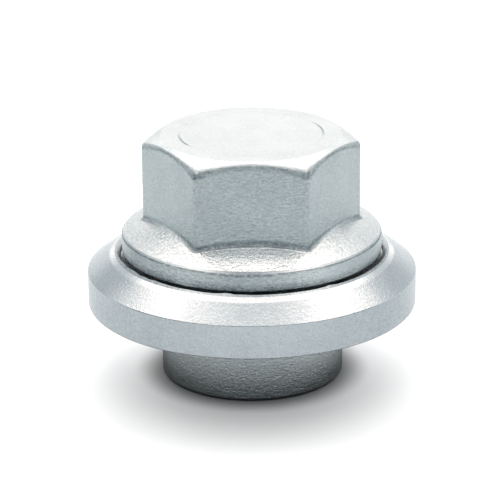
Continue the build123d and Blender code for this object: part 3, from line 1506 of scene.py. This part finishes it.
@dataclass
class Studio:
    """The pale floor, the lamps, the cards and the white surround.

    Attributes:
        surround_light: how bright the surround is as a light, before the part.
        backdrop_light: how much brighter it is behind the part.
        floor_radius: millimetres to the paper's outer edge.
        floor_hole: millimetres to its inner edge, under the shank.
        floor_sides: straight sides of each edge.
        paper: the floor's finish.
        softboxes: the lamps.
        cards: the cards.
    """

    surround_light: float = 0.98
    backdrop_light: float = 4.2
    floor_radius: float = 3500.0
    floor_hole: float = 10.2
    floor_sides: int = 96
    paper: MattPaper = MattPaper()

    # Each one's bearing, elevation, distance, width, depth, colour and radiance
    softboxes: tuple[Softbox, ...] = (
        Softbox("top_softbox", 0, 70, 750, 1120, 490, WARM_LAMP, 1.45),
        Softbox("back_panel", 0, 24, 950, 800, 580, WARM_LAMP, 0.6),
        Softbox("left_fill", -125, 52, 750, 460, 340, WARM_LAMP, 1.1),
        Softbox("right_fill", 125, 52, 750, 460, 340, WARM_LAMP, 1.4),
        Softbox("left_front_softbox", -148, 62, 750, 300, 260, WARM_LAMP, 0.7),
        Softbox("right_front_softbox", 148, 62, 750, 300, 260, WARM_LAMP, 0.7),
        Softbox("right_panel", 80, 16, 950, 760, 450, WHITE, 0.25),
    )

    # Each one's bearing, elevation, distance, width, depth and colour
    cards: tuple[Card, ...] = (
        Card("front_card", 180, 32, 600, 1300, 730, "#BCC2C6"),
        Card("left_card", -110, 20, 620, 520, 340, "#3A3F42"),
        Card("right_card", 110, 20, 620, 520, 340, "#7E8488"),
        Card("left_flag", -42, 26, 650, 290, 230, "#CDD2D4"),
        Card("right_flag", 42, 26, 650, 290, 230, "#DADEE0"),
    )

    def build(self) -> None:
        """Sets up everything around the part."""
        self.surround()
        self.floor()
        for softbox in self.softboxes:
            softbox.hang()
        for card in self.cards:
            card.stand()

    def surround(self) -> None:
        """Adds a surround that is white to the camera and to reflections.

        As a light it has one strength before the part and grows brighter towards straight behind.
        """
        world = bpy.data.worlds.new("studio")
        bpy.context.scene.world = world
        tree = clear_tree(world)
        path = add_node(tree, "ShaderNodeLightPath")
        seen = add_node(
            tree,
            "ShaderNodeMath",
            {0: path.outputs["Is Camera Ray"], 1: path.outputs["Is Glossy Ray"]},
            operation="ADD",
        ).outputs["Value"]
        seen = add_node(
            tree,
            "ShaderNodeMath",
            {0: seen, 1: path.outputs["Is Transmission Ray"]},
            operation="ADD",
            use_clamp=True,
        ).outputs["Value"]
        direction = add_node(tree, "ShaderNodeTexCoord").outputs["Generated"]
        behind = add_node(tree, "ShaderNodeSeparateXYZ", {"Vector": direction}).outputs["Y"]
        light = add_node(
            tree,
            "ShaderNodeMapRange",
            {
                "Value": behind,
                "To Min": self.surround_light,
                "To Max": self.surround_light + self.backdrop_light,
            },
        ).outputs["Result"]
        strength = add_node(
            tree, "ShaderNodeMapRange", {"Value": seen, "To Min": light, "To Max": 1.0}
        ).outputs["Result"]
        back = add_node(tree, "ShaderNodeBackground", {"Color": srgb(WHITE), "Strength": strength})
        add_node(tree, "ShaderNodeOutputWorld", {"Surface": back.outputs["Background"]})

    def floor(self) -> None:
        """Adds a wide ring of paper at the part's foot, open under the shank so the bore shows.

        Its points lie evenly on two circles, and one band of quads joins them.
        """
        angles = np.arange(self.floor_sides) * TURN / self.floor_sides
        circle = np.stack([np.cos(angles), np.sin(angles), 0 * angles], -1) * MM
        points = np.concatenate([circle * self.floor_hole, circle * self.floor_radius])
        inner = np.arange(self.floor_sides)
        outer = inner + self.floor_sides
        quads = np.stack([inner, outer, np.roll(outer, -1), np.roll(inner, -1)], -1)
        mesh = bpy.data.meshes.new("floor")
        mesh.from_pydata(points.tolist(), [], quads.tolist())
        mesh.materials.append(self.paper.material())
        sheet = bpy.data.objects.new("floor", mesh)
        bpy.context.scene.collection.objects.link(sheet)


@dataclass(frozen=True)
class StudioCamera:
    """The camera at the photograph's viewing angle.

    Attributes:
        elevation: degrees above the horizon.
        roll: degrees that the picture's level leans.
        distance: millimetres from the origin to the lens, along its axis.
        lens: focal length in millimetres.
        sensor: width of the frame in millimetres.
        aim_right: where the axis passes the origin, millimetres to the picture's right.
        aim_up: likewise, millimetres up the picture.
    """

    elevation: float = 20.106
    roll: float = -0.436
    distance: float = 304.04
    lens: float = 184.83
    sensor: float = 36.0
    aim_right: float = -0.308
    aim_up: float = 13.769

    def stand(self) -> None:
        """Adds the camera and makes it the scene's.

        It looks down by the elevation along +Y, turned about its own axis by the roll, and its
        lens stands the distance back from the point that it aims at.
        """
        tilt = math.radians(self.elevation)
        lean = math.radians(self.roll)
        forward = Vector((0, math.cos(tilt), -math.sin(tilt)))
        level = Vector((1, 0, 0))
        rise = Vector((0, math.sin(tilt), math.cos(tilt)))
        right = math.cos(lean) * level + math.sin(lean) * rise
        up = -math.sin(lean) * level + math.cos(lean) * rise
        place = (self.aim_right * right + self.aim_up * up - self.distance * forward) * MM
        data = bpy.data.cameras.new("camera")
        data.lens = self.lens
        data.sensor_width = self.sensor
        data.clip_start = CLIP_START
        data.clip_end = CLIP_END
        camera = bpy.data.objects.new("camera", data)
        bpy.context.scene.collection.objects.link(camera)
        turn = Matrix((right, up, -forward)).transposed().to_4x4()
        camera.matrix_world = Matrix.Translation(place) @ turn
        bpy.context.scene.camera = camera


def main() -> None:
    """Builds the camera, the pieces and the studio in order, and reports each piece."""
    logging.basicConfig(level=logging.INFO, format="%(name)s: %(message)s")
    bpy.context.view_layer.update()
    StudioCamera().stand()
    forging_coat = FlakeCoat(
        "flake_coat_on_forging", Slot.NUT_STEEL, colour="#B8C3C6", shade="#A5AFB2"
    )
    turning_coat = FlakeCoat("flake_coat_on_turning", Slot.WASHER_STEEL, roughness=0.25)
    nut = ForgedNut(forging_coat)
    body = nut.build()
    BoreThread(nut).build(body.data.materials[0])
    CaptiveWasher(turning_coat).build(nut)
    Studio().build()
    bpy.context.scene.view_settings.view_transform = "Standard"


if __name__ == "__main__":
    main()
